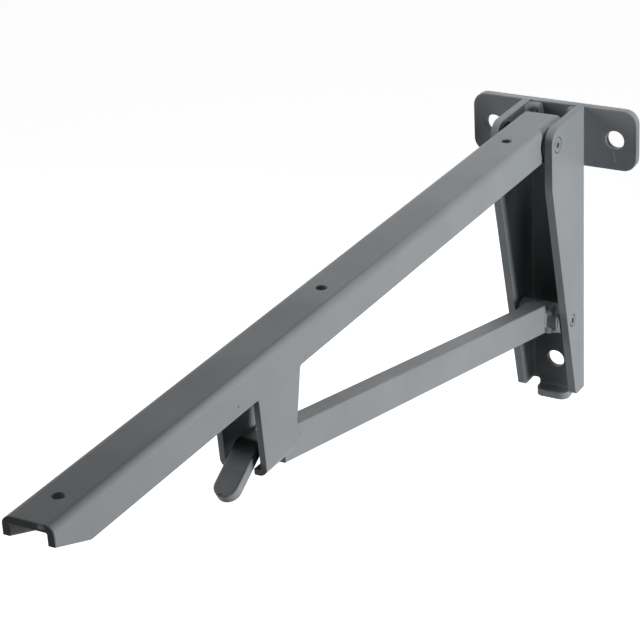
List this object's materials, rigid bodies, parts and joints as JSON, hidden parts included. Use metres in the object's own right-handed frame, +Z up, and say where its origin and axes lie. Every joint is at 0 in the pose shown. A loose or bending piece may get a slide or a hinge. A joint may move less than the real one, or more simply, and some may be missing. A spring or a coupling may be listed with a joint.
{
  "type": "folding shelf bracket",
  "caption": "Folding shelf bracket of folded sheet steel: a hinged channel arm held level by a sliding strut with a lift-to-release tongue, on a tapered wall channel with a fixing plate.",
  "frame": {"origin": "on the wall plane, midway between the two upper fixing holes", "axes": "+X across the bracket, +Y into the wall, so the raised arm points along -Y, and +Z up"},
  "size_m": [0.0808, 0.4098, 0.1487],
  "materials": {
    "powder_coat": "satin grey powder coat"
  },
  "bodies": {
    "wall_bracket": {"mounting_plate": "powder_coat", "wall_channel": "powder_coat", "plate_weld_left": "powder_coat", "plate_weld_right": "powder_coat", "upper_pivot_pin": "powder_coat", "lower_pivot_pin": "powder_coat", "arm_washer_left": "powder_coat", "arm_washer_right": "powder_coat"},
    "arm": {"arm_channel": "powder_coat"},
    "strut": {"strut_bar": "powder_coat", "strut_foot_bush": "powder_coat", "strut_weld_left": "powder_coat", "strut_weld_right": "powder_coat", "release_tongue": "powder_coat"}
  },
  "joints": [
    {"name": "arm_fold", "type": "hinge", "parent": "wall_bracket", "child": "arm", "pos_m": [0, -0.0329, 0.0061], "axis": [1, 0, 0], "range_deg": [0, 88]},
    {"name": "strut_fold", "type": "hinge", "parent": "wall_bracket", "child": "strut", "pos_m": [0, -0.0172, -0.087], "axis": [1, 0, 0], "range_deg": [-2.5, 102.3]}
  ],
  "couplings": [
    {"joint": "strut_fold", "follows": "arm_fold", "ratio": 1.1625}
  ]
}
